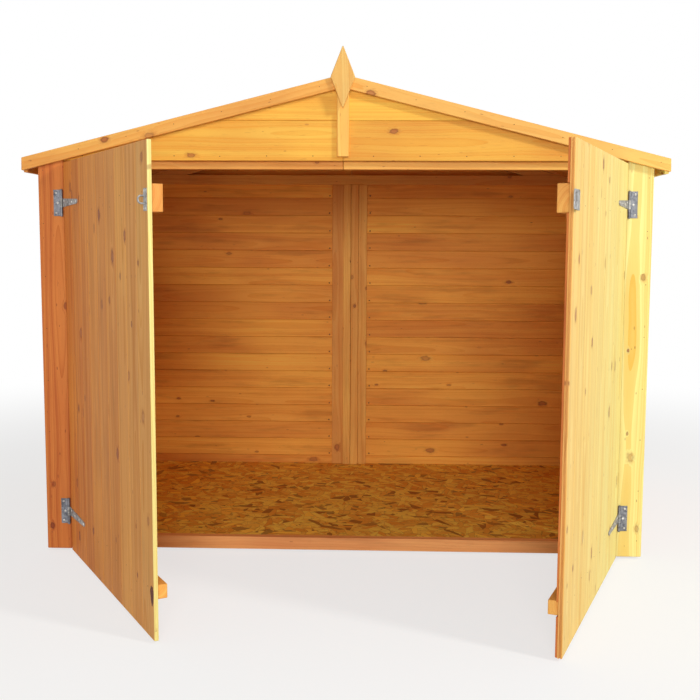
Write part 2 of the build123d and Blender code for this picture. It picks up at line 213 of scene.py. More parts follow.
def sweep(profile, origin, along, across, out, low, high, edge=0.0012, fibre=None, door=None,
          painted_sunlight=0.0):
    """Carries a closed profile (s, d) along a line: origin + t along + s across + d out.

    t runs from low(s, d) to high(s, d), so that an end may be cut to any slope. The first and
    last ring are drawn in towards the profile's middle by the edge size, which eases the ends.
    The painted sunlight is one number, or one for each point of the profile.
    """
    s, d = profile[:, 0], profile[:, 1]
    middle = (profile.min(0) + profile.max(0)) / 2
    half = np.maximum((profile.max(0) - profile.min(0)) / 2, edge)
    drawn_in = middle + (profile - middle) * (1 - edge / half)
    start = low(s, d) if callable(low) else np.full(len(s), float(low))
    stop = high(s, d) if callable(high) else np.full(len(s), float(high))
    stop = np.maximum(stop, start + 4 * edge)
    rings = [(start, drawn_in), (start + edge, profile), (stop - edge, profile), (stop, drawn_in)]
    points = np.concatenate([
        origin + t[:, None] * along + ring[:, :1] * across + ring[:, 1:] * out
        for t, ring in rings])
    n = len(profile)
    quads = between_rings(len(rings), n)
    caps = [np.arange(n)[::-1], np.arange(n) + (len(rings) - 1) * n]
    area = np.sum(s * np.roll(d, -1) - np.roll(s, -1) * d)
    if area * np.linalg.det([along, across, out]) < 0:
        quads = quads[:, ::-1]
        caps = [cap[::-1] for cap in caps]
    fibre = along if fibre is None else fibre
    face = out if fibre is along else along
    wood = np.stack([points @ fibre, points @ np.cross(face, fibre), points @ face], 1)
    wood -= (wood.min(0) + wood.max(0)) / 2
    wood += rng.uniform(nearest_pith, furthest_pith)
    tone = np.full(len(points), rng.uniform(0, 1))
    # The painted sunlight, a straw colour for the sun's glare, for every point of every ring.
    sun_painted = np.tile(np.broadcast_to(painted_sunlight, n), len(rings))
    faces = [*quads.tolist(), *[cap.tolist() for cap in caps]]
    return swing(points, door), faces, wood, tone, sun_painted


print("faces between two rings of six points:", len(between_rings(2, 6)))

# %% [markdown]
# From arrays to an object
#
# Boards that are fixed side by side make one object. Its mesh is filled from the joined arrays,
# and the object stays at the origin, because its place is in its points. It then has to be told
# three things: which body of the CAD model it moves with, which material it takes, and which CAD
# nodes it stands for, which it hides.

# %% Making a piece


def new_object(name, data):
    """An object in the scene's own collection."""
    made = bpy.data.objects.new(name, data)
    bpy.context.scene.collection.objects.link(made)
    return made


def add_piece(name, parts, material, body, replaced=(), smooth=False):
    """Joins computed parts into one mesh object that rides on a body."""
    points = np.concatenate([part[0] for part in parts])
    starts = np.cumsum([0] + [len(part[0]) for part in parts])
    faces = [[corner + start for corner in face]
             for part, start in zip(parts, starts) for face in part[1]]
    mesh = bpy.data.meshes.new(name)
    mesh.from_pydata(points.tolist(), [], faces)
    if len(parts[0]) > 2:
        wood = mesh.attributes.new("grain", "FLOAT_VECTOR", "POINT")
        wood.data.foreach_set("vector", np.concatenate([part[2] for part in parts]).ravel())
        # The tone of each board and its painted sunlight become number attributes.
        for column, label in ((3, "tone"), (4, "painted_sunlight")):
            number = mesh.attributes.new(label, "FLOAT", "POINT")
            number.data.foreach_set("value", np.concatenate([part[column] for part in parts]))
    mesh.polygons.foreach_set("use_smooth", np.full(len(faces), smooth))
    mesh.materials.append(material)
    piece = new_object(name, mesh)
    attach(piece, body)
    if replaced:
        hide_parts(*replaced)
    print(f"{name}: {len(parts)} parts, {len(faces)} faces")


# %% [markdown]
# Writing materials as expressions
#
# A procedural wood needs some forty nodes, and linking them one by one hides the idea. Here a
# small class stands for a socket, and adding or multiplying two of them adds the Math node.

# %% The socket wrapper


class Wire:
    """A number on its way through a node tree."""

    def __init__(self, graph, socket):
        self.graph, self.socket = graph, socket

    def math(self, operation, *values):
        """A Math node that works on these values."""
        return self.graph.node("ShaderNodeMath", {"operation": operation},
                               dict(enumerate(values)))

    def __add__(self, other):
        return self.math("ADD", self, other)

    def __sub__(self, other):
        return self.math("SUBTRACT", self, other)

    def __rsub__(self, other):
        return self.math("SUBTRACT", other, self)

    def __mul__(self, other):
        return self.math("MULTIPLY", self, other)

    def __truediv__(self, other):
        return self.math("DIVIDE", self, other)

    def __pow__(self, other):
        return self.math("POWER", self, other)

    __radd__ = __add__
    __rmul__ = __mul__

    def step(self, low, high):
        """0 below low, 1 above high and a smooth climb between."""
        settings = {"interpolation_type": "SMOOTHSTEP"}
        return self.graph.node("ShaderNodeMapRange", settings,
                               {"Value": self, "From Min": low, "From Max": high})


print("reflected operators:", [name for name in vars(Wire) if name.startswith("__r")])

# %% [markdown]
# One method for every other node
#
# All other nodes come from one method, which takes the type, the settings and the inputs. It
# belongs to a node tree, because the background at the end is a tree too. A finish is such a
# tree with a Principled shader, and with short names for the nodes that the woods, the felt
# and the zinc all use.

# %% The node trees


class Graph:
    """A node tree that is filled through one method."""

    def __init__(self, tree):
        self.tree = tree

    def node(self, kind, settings=None, inputs=None, output=0):
        """Adds a node, sets it up, fills its inputs and gives back one of its outputs."""
        node = self.tree.nodes.new(kind)
        for name, value in (settings or {}).items():
            setattr(node, name, value)
        for name, value in (inputs or {}).items():
            if isinstance(value, Wire):
                self.tree.links.new(value.socket, node.inputs[name])
            else:
                node.inputs[name].default_value = value
        return Wire(self, node.outputs[output])

    def split(self, vector):
        """The three numbers of a vector or a colour."""
        node = self.node("ShaderNodeSeparateXYZ", None, {0: vector}).socket.node
        return [Wire(self, socket) for socket in node.outputs]

    def seen_by(self, *kinds):
        """1 for rays of any of these kinds and 0 for the light that falls on the object."""
        rays = self.node("ShaderNodeLightPath").socket.node
        seen = Wire(self, rays.outputs[f"Is {kinds[0]} Ray"])
        for kind in kinds[1:]:
            seen = seen.math("MAXIMUM", seen, Wire(self, rays.outputs[f"Is {kind} Ray"]))
        return seen

    def surface(self, factor, first, second):
        """Two shaders mixed, led to the output of the tree."""
        blend = self.node("ShaderNodeMixShader", None, {0: factor, 1: first, 2: second})
        output = next(node for node in self.tree.nodes if "Output" in node.name)
        self.tree.links.new(blend.socket, output.inputs["Surface"])


class Finish(Graph):
    """A material with one Principled shader, whose even values are set on its sockets."""

    def __init__(self, name, **even):
        self.material = bpy.data.materials.new(name)
        self.material.use_nodes = True
        super().__init__(self.material.node_tree)
        self.shader = self.tree.nodes["Principled BSDF"]
        for socket, value in even.items():
            self.shader.inputs[socket.replace("_", " ")].default_value = value

    def feed(self, socket, wire):
        """Leads a wire into a socket of the shader."""
        self.tree.links.new(wire.socket, self.shader.inputs[socket])

    def held(self):
        """Object coordinates, which lie still on the piece."""
        return self.node("ShaderNodeTexCoord", None, None, "Object")

    def stored(self, name, kind="Fac"):
        """An attribute of the mesh, as a number or a vector."""
        return self.node("ShaderNodeAttribute", {"attribute_name": name}, None, kind)

    def stretch(self, vector, scale, turn=None):
        """The vector times a scale for each axis, after a turn about Z where one is given."""
        if turn is not None:
            vector = self.node("ShaderNodeMapping", None,
                               {"Vector": vector, "Rotation": (0, 0, turn)})
        return self.node("ShaderNodeMapping", None, {"Vector": vector, "Scale": scale})

    def noise(self, vector, scale, detail=2.0, roughness=0.5):
        """Cloudy noise with its own scale for each axis."""
        return self.node("ShaderNodeTexNoise", None,
                         {"Vector": self.stretch(vector, scale), "Scale": 1.0,
                          "Detail": detail, "Roughness": roughness})

    def mix(self, factor, first, second, blend="MIX"):
        """Two colours mixed; a plain colour is given as three numbers."""
        first, second = [c if isinstance(c, Wire) else (*c, 1.0) for c in (first, second)]
        return self.node("ShaderNodeMix", {"data_type": "RGBA", "blend_type": blend},
                         {0: factor, 6: first, 7: second}, 2)

    def bump(self, height, distance, strength=1.0):
        """Lets the light see a height, where 1 stands for the distance in metres."""
        self.feed("Normal", self.node("ShaderNodeBump", None,
                                      {"Height": height, "Distance": distance,
                                       "Strength": strength}))


def linear(red, green, blue):
    """A colour as a paint chip shows it, 0 to 255, turned into linear light."""
    values = np.array([red, green, blue]) / 255
    return tuple(np.where(values > 0.04045, ((values + 0.055) / 1.055) ** 2.4, values / 12.92))


def scaled(colour, factor):
    """A darker or paler shade of a colour."""
    return tuple(factor * value for value in colour)


print("paint-chip grey 128 in linear light:", round(float(linear(128, 128, 128)[0]), 3))

# %% [markdown]
# Knots
#
# A knot is a branch cut across: a dark disk with a thin darker bark line round it, drawn out
# along the board, where the saw meets the branch aslant. Knots are the cells of a Voronoi
# texture that is squeezed along the board, of which only a few are kept. A lower limit on
# their random number says how few, and so large knots and pin knots come from one function.

# %% Knots from cells

faintest_knot = 0.35
kept_edge = 0.02


def knots(wood, along, across, uneven, cells_per_metre, share, smallest, largest):
    """Nearness to the closest knot (1 at its middle, 0 at its edge) and the knot's strength."""
    flat = wood.node("ShaderNodeCombineXYZ", None, {0: along, 1: across})
    cells = {"Vector": wood.stretch(flat, (*cells_per_metre, 1.0)), "Scale": 1.0}
    kind = {"voronoi_dimensions": "2D"}
    away = wood.node("ShaderNodeTexVoronoi", kind, cells, "Distance")
    chance, size, strength = wood.split(wood.node("ShaderNodeTexVoronoi", kind, cells, "Color"))
    kept = chance.step(1 - share, 1 - share + kept_edge)
    radius = smallest + size * (largest - smallest)
    return (1 - away * (0.35 + uneven * 1.3) / radius,
            kept * (faintest_knot + strength * (1 - faintest_knot)))


large_knot_sizes = (0.035, 0.12)
pin_knot_sizes = (0.05, 0.13)
pin_knot_cells = (15.0, 45.0)
print("large knots in shares of a cell:", large_knot_sizes, "pin knots:", pin_knot_sizes)

# %% [markdown]
# Dip-treated softwood
#
# The shelter is spruce, dipped in a honey-coloured stain. Four things make it read as wood: growth
# rings that show as wavy streaks along a board, knots round which the rings bend, brown patches
# where the stain soaks in deeper, and a stain that takes a little darker in one board than in the
# next. The rings are distances from a line that lies just below the board, as the pith does in a
# real log, so that end grain shows arcs without any extra work. Large knots have a reddish halo.
# Boards that stand in the sun are given painted sunlight: their colour is mixed towards a pale
# straw, by the amount that their points store for it.

# %% The softwood material

rings_per_metre = 210.0
wander_in_rings = 7.0
bend_round_knots = 2.8
# Painted sunlight: the most that a sunlit board is mixed towards straw, and the two straw colours.
most_painted_sun = 0.8
sunlit_straw_pale = linear(238, 246, 166)
sunlit_straw_deep = linear(226, 192, 88)


def shade_of_board(wood, tone, cloud, variety):
    """A grey-brown near 1 that darkens one board, or one stretch of it, against the next."""
    shade = 1.0 + (tone - 0.5) * 0.18 * variety + (cloud.step(0.3, 0.7) - 0.5) * 0.14
    squared = shade * shade
    return wood.node("ShaderNodeCombineColor", None, {0: shade, 1: squared, 2: squared})


def softwood(name, pale, deep, knot, share, rough=0.62, turn=None, cells=(6.5, 13.0),
             contrast=1.0, variety=1.0, patches=0.3):
    """Rings are the fraction of (distance from the pith x rings per metre + wander + knots)."""
    wood = Finish(name, Roughness=rough, Specular_IOR_Level=0.32)
    if turn is None:
        place, tone = wood.stored("grain", "Vector"), wood.stored("tone")
    else:
        place = wood.node("ShaderNodeMapping", None, {"Vector": wood.held(), "Rotation": turn})
        tone = wood.noise(place, (0.6, 9.0, 9.0), 0.0)
    along, across, deep_in = wood.split(place)

    uneven = wood.noise(place, (60.0, 150.0, 150.0), 3.0, 0.6)
    large, large_kept = knots(wood, along, across, uneven, cells, share, *large_knot_sizes)
    small, small_kept = knots(wood, along, across, uneven, pin_knot_cells, 0.6 * share,
                              *pin_knot_sizes)
    wander = wood.noise(place, (1.3, 7.0, 7.0), 2.0)
    radius = (across * across + deep_in * deep_in) ** 0.5
    rings = (radius * rings_per_metre + wander * wander_in_rings
             + large.step(-1.6, 1.0) * large_kept * bend_round_knots)
    late = rings.math("FRACT", rings) ** 2.2
    streak_place = wood.node("ShaderNodeCombineXYZ", None, {0: along * 0.35, 1: rings * 0.55})
    streak = wood.noise(streak_place, (1.0, 1.0, 1.0), 1.0)
    fibre = wood.noise(place, (9.0, 520.0, 520.0), 2.0, 0.6)
    fleck = wood.noise(place, (30.0, 420.0, 420.0), 1.0)
    cloud = wood.noise(place, (2.2, 5.0, 5.0), 2.0)
    soaked = wood.noise(place, (3.2, 24.0, 24.0), 3.0, 0.6).step(0.5, 0.74)

    grain = late * 0.3 * contrast + streak.step(0.35, 0.7) * 0.42 * contrast + fibre * 0.22
    body = wood.mix(grain, pale, deep)
    body = wood.mix(soaked * patches, body, scaled(deep, 0.62))
    body = wood.mix(fleck.step(0.66, 0.76) * 0.22, body, knot)
    body = wood.mix(1.0, body, shade_of_board(wood, tone, cloud, variety), "MULTIPLY")
    if turn is None:
        # Painted sunlight: the colour mixed towards straw by the amount each point stores.
        straw = wood.mix(grain, sunlit_straw_pale, sunlit_straw_deep)
        body = wood.mix(wood.stored("painted_sunlight") * most_painted_sun, body, straw)
    halo = large.step(-1.3, 0.2) * large_kept
    outline = large.step(-0.25, 0.0) * (1 - large.step(0.1, 0.5)) * large_kept
    large_core = large.step(-0.05, 0.2) * large_kept
    core = large_core.math("MAXIMUM", large_core, small.step(0.0, 0.6) * small_kept)
    body = wood.mix(halo * 0.45, body, scaled(knot, 1.25))
    body = wood.mix(core * 0.72, body, knot)
    body = wood.mix(outline * 0.5, body, scaled(knot, 0.4))
    wood.feed("Base Color", body)
    wood.feed("Roughness", rough + late * 0.1 - core * 0.12)
    wood.bump(late * 0.5 + fibre * 0.9 - core * 0.6, 0.0006, 0.6)
    return wood.material


# The printed number is the most painted sunlight, a mix towards straw.
print("rings a metre:", rings_per_metre, "bleached at most:", most_painted_sun)

# %% [markdown]
# The woods of the shelter
#
# The same spruce looks different from piece to piece. The leaves took the stain deep, the gable
# and the trim stayed golden, and the sill is a pinker board. The corner wood is darker than the
# trim as painted shade: it goes on the left front corner board, which the open left door shades,
# and on the right leaf's edge strips, which are turned from the sun, while the right front corner
# board is given painted sunlight over it. Sawn framing is rougher, and has no attributes, because
# it keeps its CAD mesh: its rings follow Object coordinates, turned to the way the piece lies.

# %% The woods

knot_brown = linear(158, 82, 36)
trim_wood = softwood("trim_softwood", linear(240, 182, 94), linear(220, 138, 56),
                     knot_brown, 0.22, cells=(8.5, 12.0))
cladding_wood = softwood("cladding_softwood", linear(254, 187, 82), linear(232, 144, 52),
                         knot_brown, 0.12, patches=0.5)
gable_wood = softwood("gable_softwood", linear(242, 192, 80), linear(230, 150, 48),
                      knot_brown, 0.16, cells=(5.0, 10.0), patches=0.2)
door_wood = softwood("door_softwood", linear(236, 149, 64), linear(198, 102, 34),
                     linear(144, 64, 28), 0.24, cells=(8.0, 12.0), variety=0.6, patches=0.25)
# A darker copy of the trim wood, as painted shade for pieces that stand in shade.
shade_painted_corner_wood = softwood("corner_softwood_painted_shade", linear(220, 132, 62), linear(184, 92, 38),
                       linear(132, 52, 24), 0.42, cells=(9.0, 13.0), contrast=1.4)
sill_wood = softwood("sill_softwood", linear(238, 166, 104), linear(214, 128, 70),
                     knot_brown, 0.1)
quarter_turn = math.pi / 2
sawn_across, sawn_back, sawn_upright = [
    softwood(f"framing_softwood_{way}", linear(236, 172, 92), linear(204, 128, 58), knot_brown,
             0.14, 0.75, turn)
    for way, turn in (("across", (0, 0, 0)), ("back", (0, 0, quarter_turn)),
                      ("upright", (0, quarter_turn, 0)))]
print("wood materials:", sum("softwood" in m.name for m in bpy.data.materials))

# %% [markdown]
# Framing that keeps its CAD shape
#
# Rails, posts, rafters and bearers are plain sawn lengths, mostly hidden, and their CAD
# meshes are already right. They only need the sawn wood whose rings run the way the piece
# lies, and it goes into their material slots.

# %% Wood for the framing nodes


def set_material(material, *names):
    """Gives CAD nodes a material and leaves their meshes as they are."""
    for name in names:
        mesh = nodes[name].data
        mesh.materials.clear()
        mesh.materials.append(material)
    print(material.name, "on", *names)


set_material(sawn_across, "floor_bearers", "front_gable_rail", "front_rafters", "back_rafters")
set_material(sawn_back, "side_rails", "ridge_beam")
set_material(sawn_upright, "front_posts", "side_posts")

# %% [markdown]
# Planed trim
#
# Corner boards, rails, fascias, ledges and cover strips are single planed boards with eased
# edges. One function reads each solid of a node and sweeps a rounded section the length of
# it. Where a board runs up to the roof, its far end follows the slope.

# %% Boards from the boxes of their nodes

eased_edge = 0.0016
# Front trim beyond this x is given painted sunlight, a straw colour for the sun's glare.
painted_sun_from_x = 0.7


def planed(node, along, out, door=None, to_roof=False):
    """One board for each solid of a node, lying along an axis, with its face towards out."""
    across = np.abs(np.cross(along, out))
    parts = []
    for lowest, highest in solids(node, door):
        size = highest - lowest
        origin = np.where(out > 0, highest, lowest) * np.abs(out) + lowest * (along + across)
        profile = rounded_rectangle(size @ across, size @ np.abs(out), eased_edge)

        def top(s, d, origin=origin):
            x = (origin + s[:, None] * across + d[:, None] * out)[:, 0]
            return roof_height(x, roof_build_up) - origin[2]

        high = top if to_roof else size @ along
        # Front pieces on the right side get full painted sunlight; all others get none.
        painted_sunlight = 1.0 if door is None and lowest[0] > painted_sun_from_x and lowest[1] < 0 else 0.0
        parts.append(sweep(profile, origin, along, across, out, 0.0, high, eased_edge, door=door,
                           painted_sunlight=painted_sunlight))
    return parts


def trim_piece(node, along, out, door=None, to_roof=False, material=trim_wood):
    """Planed boards in the place of one node's solids, on the door's body or the shelter's."""
    body = f"{door}_door" if door else "shelter"
    add_piece(f"{node}_planed", planed(node, along, out, door, to_roof), material, body,
              [node])


# The front corner boards take the darker wood: painted shade on the left one, with painted
# sunlight over it on the right one.
trim_piece("corner_boards_front", Z, -Y, to_roof=True, material=shade_painted_corner_wood)
trim_piece("corner_boards_back", Z, Y, to_roof=True)
trim_piece("back_cover_strip", Z, Y, to_roof=True)
trim_piece("side_corner_trims", Z, X)
trim_piece("eaves_fascias", Y, X)
trim_piece("head_rails", X, -Y)
trim_piece("sill", X, -Y, material=sill_wood)
trim_piece("back_rail", X, -Y)
for door in ("left", "right"):
    trim_piece(f"{door}_door_ledges", X, Y, door)
# The right leaf's edge strips take the darker wood as painted shade, being turned from the sun.
trim_piece("right_door_edge_strips", Z, Y, "right", material=shade_painted_corner_wood)

# %% [markdown]
# The battens behind the back joint
#
# Inside, the two back panels meet behind a pair of deep battens, each with a shallower flank
# beside it. In the CAD model a batten and its flank are one solid; here they are two boards
# again, nailed side by side, because that is what the light shows.

# %% Back battens

batten_face = 0.030


def back_battens():
    """From the joint outwards, to the left and to the right: a batten, then its flank."""
    parts = []
    for sign, (lowest, highest) in zip((-1, 1), solids("back_battens")):
        joint = lowest[0] if sign > 0 else highest[0]
        flank_width = highest[0] - lowest[0] - batten_face
        flank_front = (lowest[1] + highest[1]) / 2
        for offset, width, front in ((0.0, batten_face, lowest[1]),
                                     (batten_face, flank_width, flank_front)):
            first = joint + sign * offset
            origin = np.array([min(first, first + sign * width), front, lowest[2]])
            profile = rounded_rectangle(width, highest[1] - front, eased_edge)
            parts.append(sweep(profile, origin, Z, X, -Y, 0.0, highest[2] - lowest[2],
                               eased_edge))
    return parts


add_piece("back_battens_planed", back_battens(), trim_wood, "shelter", ["back_battens"])

# %% [markdown]
# Matchboard walls
#
# The walls are courses of tongued and grooved boards about 70 mm high. They could be one
# slab with lines in its bump map, but at the corners and in raking light the vee joints have
# to be real. Each course is a sweep of the matchboard section. Its tongue fills the joint
# above, so that no light comes through. At both gable ends the courses are cut off by the
# roof, and in the front gable they are wider boards.

# %% Wall courses

course_height = 0.0705
gable_course = 0.117
narrowest_course = 0.006
shortest_half = 0.004
course_end = 0.0006
set_back = 0.0004


def roof_end(origin, along, length, sign):
    """Where a course meets the roof left (-1) or right (1): x = (room under the ridge) / slope."""
    def end(s, d):
        room = (roof_height(0.0, roof_build_up) - origin[2] - s) / slope
        return np.clip(sign * np.maximum(room, shortest_half) - origin @ along, 0.0, length)
    return end


def courses(lowest, highest, along, out, pitch, cut=False):
    """Stacks matchboards up a box. A cut course ends where its upper edge meets the roof."""
    rise, length = highest[2] - lowest[2], (highest - lowest) @ along
    width = pitch if cut else rise / max(1, round(rise / pitch))
    thickness = (highest - lowest) @ np.abs(out)
    parts = []
    for course in range(math.ceil(rise / width - 1e-6)):
        z = lowest[2] + course * width
        this = min(width, highest[2] - z)
        if this < narrowest_course:
            continue
        origin = np.where(out > 0, highest, lowest) * np.abs(out) + lowest * along + z * Z
        low = roof_end(origin, along, length, -1) if cut else 0.0
        high = roof_end(origin, along, length, 1) if cut else length
        shift = origin + out * rng.uniform(-set_back, 0.0)
        parts.append(sweep(tongue_and_groove(this, thickness), shift, along, Z, out, low, high,
                           course_end))
    return parts


for wall, along, out, cut in (("side_wall_left", Y, -X, False), ("side_wall_right", Y, X, False),
                              ("back_wall_left", X, -Y, True), ("back_wall_right", X, -Y, True)):
    add_piece(f"{wall}_boards", courses(*solids(wall)[0], along, out, course_height, cut),
              cladding_wood, "shelter", [wall])

gable_parts = []
for lowest, highest in solids("front_gable_panels"):
    gable_parts += courses(lowest, highest, X, -Y, gable_course, cut=True)
add_piece("front_gable_boards", gable_parts, gable_wood, "shelter",
          ["front_gable_panels"])

# %% [markdown]
# Door leaves
#
# Each leaf is nine upright matchboards held by two ledges. The boards are swept with the door shut
# and swung open with the rest of the leaf. The right leaf stands in the sun and is given painted
# sunlight, a pale straw colour, most of all near its hinges. The left leaf stands in shade and
# keeps its colour, with a little painted sunlight only towards its free edge. The narrow free
# edges are the other way round: the left one faces the sun and is painted straw all over, and the
# right one is turned from it and gets less, so that it stays darker as painted shade.

# %% Leaf boards

boards_per_leaf = 9
leaf_joint, leaf_vee, leaf_tongue = 0.0007, 0.0013, 0.004
leaf_arris = 0.0012
leaf_end = 0.0008
# Painted sunlight over each leaf from its first board to its last, and on each narrow free edge.
painted_sun = {"left": (0.0, 0.3), "right": (0.66, 1.0)}
free_edge_painted_sun = {"left": 1.0, "right": 0.35}
left_edge_reach, right_edge_reach = 0.0005, 0.001
groove_reach, groove_begins = 0.006, -0.002


def on_free_edge(door, profile, width):
    """Which points of the outermost board's section lie on the leaf's narrow free edge."""
    s, d = profile.T
    if door == "left":
        return s > width - left_edge_reach
    return (s < right_edge_reach) | (s < groove_reach) & (d < groove_begins)


def leaf_boards(door):
    """Boards side by side from left to right, the last one plain instead of tongued."""
    lowest, highest = solids(f"{door}_door_boards", door)[0]
    width = (highest[0] - lowest[0]) / boards_per_leaf
    height, thickness = highest[2] - lowest[2], highest[1] - lowest[1]
    last = boards_per_leaf - 1
    outermost = last if door == "left" else 0
    parts = []
    for number in range(boards_per_leaf):
        profile = tongue_and_groove(width, thickness, leaf_joint, leaf_vee, leaf_tongue)
        if number == last:
            profile = rounded_rectangle(width, thickness, leaf_arris)
        origin = lowest + number * width * X
        # Painted sunlight, graded across the leaf; the free edge gets its own amount, lighter or
        # darker as painted sun or shade.
        painted_sunlight = np.interp(number / last, (0, 1), painted_sun[door])
        if number == outermost:
            edge = on_free_edge(door, profile, width)
            painted_sunlight = np.where(edge, free_edge_painted_sun[door], painted_sunlight)
        parts.append(sweep(profile, origin, Z, X, -Y, 0.0, height, leaf_end, door=door,
                           painted_sunlight=painted_sunlight))
    return parts


# The printed numbers are the painted sunlight over the leaves.
print("bleaching over the leaves:", painted_sun)

# %% [markdown]
# Braces
#
# A ledged door would sag without a brace: a board that runs from the lower ledge, at the hinge
# side, up to the free side. Its ends are cut level, to stand on the one ledge and meet the
# other. Its line is found from the middles of the CAD brace's foot and head.

# %% Braces, and both kinds of piece


def leaf_brace(door):
    """A board from the lower hinge side up to the free side, both ends cut level."""
    lowest, highest = solids(f"{door}_door_brace", door)[0]
    corners = swing(vertices(f"{door}_door_brace"), door, -1.0)
    foot = corners[corners[:, 2] < lowest[2] + same_place, 0]
    head = corners[corners[:, 2] > highest[2] - same_place, 0]
    foot_x, head_x = (foot.min() + foot.max()) / 2, (head.min() + head.max()) / 2
    along = np.array([head_x - foot_x, 0.0, highest[2] - lowest[2]])
    along /= np.linalg.norm(along)
    across = np.cross(along, Y)
    width = (foot.max() - foot.min()) * along[2]
    profile = rounded_rectangle(width, highest[1] - lowest[1], eased_edge)
    origin = np.array([foot_x, highest[1], lowest[2]]) - across * width / 2

    def cut_at(z):
        return lambda s, d: (z - origin[2] - s * across[2]) / along[2]

    return [sweep(profile, origin, along, across, Y, cut_at(lowest[2]), cut_at(highest[2]),
                  eased_edge, door=door)]


for door in ("left", "right"):
    body = f"{door}_door"
    add_piece(f"{door}_door_matchboards", leaf_boards(door), door_wood, body,
              [f"{door}_door_boards"])
    add_piece(f"{door}_door_brace_planed", leaf_brace(door), trim_wood, body,
              [f"{door}_door_brace"])

# %% [markdown]
# The knot at the left leaf's free edge
#
# Low on the left leaf, a large dark knot runs out of the free edge. It is one mark in a known
# place, so it is a small piece of its own instead of a lucky cell in a random texture: a thin
# lens over the board's face, with an outline that wavers and rings that follow it.

# %% The edge knot

knot_half_width, knot_half_height = 0.014, 0.026
knot_height_up_leaf = 0.110
knot_crown = 0.0005
knot_ripple = 0.00008
knot_rings, knot_points = 8, 40
knot_cut_off = 0.93


def edge_knot():
    """Rings r x angles a: an ellipse times 1 + 0.1 sin 3a + 0.06 sin 7a, rising 0.5 mm inwards."""
    lowest, highest = solids("left_door_boards", "left")[0]
    angles = np.arange(knot_points) * 2 * math.pi / knot_points
    share, angle = np.meshgrid(np.linspace(1.0, 0.1, knot_rings), angles, indexing="ij")
    waver = 1 + 0.10 * np.sin(3 * angle) + 0.06 * np.sin(7 * angle)
    side = np.minimum(share * waver * np.cos(angle), knot_cut_off) * knot_half_width
    rise = share * waver * np.sin(angle) * knot_half_height
    ripple = knot_ripple * np.cos(share * 30)
    out = knot_crown * (1 - share ** 2) + ripple - 0.0002 * (share > 0.99)
    free_edge = highest[0]
    points = np.stack([free_edge - knot_half_width + side, lowest[1] - out,
                       lowest[2] + knot_height_up_leaf + rise], -1).reshape(-1, 3)
    rings, count = share.shape
    middle = ((rings - 1) * count + np.arange(count)).tolist()
    faces = [*between_rings(rings, count).tolist(), middle, np.arange(count)[::-1].tolist()]
    wood = np.stack([share.ravel() * 0.02, angle.ravel() * 0.01, share.ravel() * 0.05], 1)
    even = np.zeros(len(points))
    return swing(points, "left"), faces, wood, even, even


heart_wood = softwood("knot_heartwood", linear(132, 68, 32), linear(78, 36, 16), knot_brown, 0.0,
                      contrast=1.6)
add_piece("left_door_edge_knot", [edge_knot()], heart_wood, "left_door")

# %% [markdown]
# Bargeboards, finials and the gable batten
#
# The bargeboards lie along the slope and are cut upright at both ends. The finial is a
# diamond cut from board: here the outline is the profile, and the sweep goes through the
# thickness, so its grain is told to run upright. The batten has its two outer arrises taken
# off and its head cut to fit under the bargeboards.

# %% Roof edge trim

ridge_joint = 0.0005
corner_nip = 0.0015
batten_arris = 0.003
finial_end = 0.002
# How much painted sunlight, a straw colour for the sun's glare, the right front bargeboard and the
# finials are given.
barge_painted_sun, finial_painted_sun = 0.1, 0.3


def bargeboards(node, out):
    """Left and right board from the ridge down to the eaves, s across them from the top edge."""
    parts = []
    lowest, highest = solids(node)[-1]
    front, back = lowest[1], highest[1]
    width = (roof_height(highest[0]) - lowest[2]) * cos_pitch
    face_y = back if out[1] > 0 else front

    def ridge_end(s, d):
        return (ridge_joint + s * sin_pitch) / cos_pitch

    def eaves_end(s, d):
        return (roof_half_width - (eased_edge - s) * sin_pitch) / cos_pitch

    for sign in (-1, 1):
        along = np.array([sign * cos_pitch, 0.0, -sin_pitch])
        across = np.array([-sign * sin_pitch, 0.0, -cos_pitch])
        origin = np.array([0.0, face_y, ridge_top])
        profile = rounded_rectangle(width, back - front, eased_edge)
        # Only the right front bargeboard gets painted sunlight.
        painted_sunlight = barge_painted_sun if sign > 0 and out[1] < 0 else 0.0
        parts.append(sweep(profile, origin, along, across, out, ridge_end, eaves_end, eased_edge,
                           painted_sunlight=painted_sunlight))
    return parts


def finial(lowest, highest):
    """The outline is the four corners of a diamond, with each corner nipped off."""
    wide, _, high = (highest - lowest) / 2
    nip = corner_nip
    profile = np.array([(wide, high - nip), (wide, high + nip), (nip, 2 * high), (-nip, 2 * high),
                        (-wide, high + nip), (-wide, high - nip), (-nip, 0.0), (nip, 0.0)])
    origin = np.array([(lowest[0] + highest[0]) / 2, lowest[1], lowest[2]])
    # The finials are given some painted sunlight.
    return sweep(profile, origin, Y, X, Z, 0.0, highest[1] - lowest[1], finial_end, fibre=Z,
                 painted_sunlight=finial_painted_sun)


def gable_batten():
    """A board with two arrises taken off, its head cut along the bargeboards' lower edge."""
    lowest, highest = solids("gable_batten")[0]
    width, thickness = highest[0] - lowest[0], highest[1] - lowest[1]
    arris = batten_arris
    profile = np.array([(width, -arris), (width - arris, 0), (arris, 0), (0, -arris),
                        (0, -thickness), (width, -thickness)])
    board_width = (roof_height(roof_half_width) - solids("bargeboards_front")[0][0][2]) * cos_pitch

    def head(s, d):
        return roof_height(lowest[0] + s, board_width) - lowest[2]

    return sweep(profile, lowest, Z, X, -Y, 0.0, head)


for node, out in (("bargeboards_front", -Y), ("bargeboards_back", Y)):
    add_piece(f"{node}_planed", bargeboards(node, out), trim_wood, "shelter", [node])
add_piece("finials_cut", [finial(*box) for box in solids("finials")], trim_wood, "shelter",
          ["finials"])
add_piece("gable_batten_planed", [gable_batten()], trim_wood, "shelter",
          ["gable_batten"])

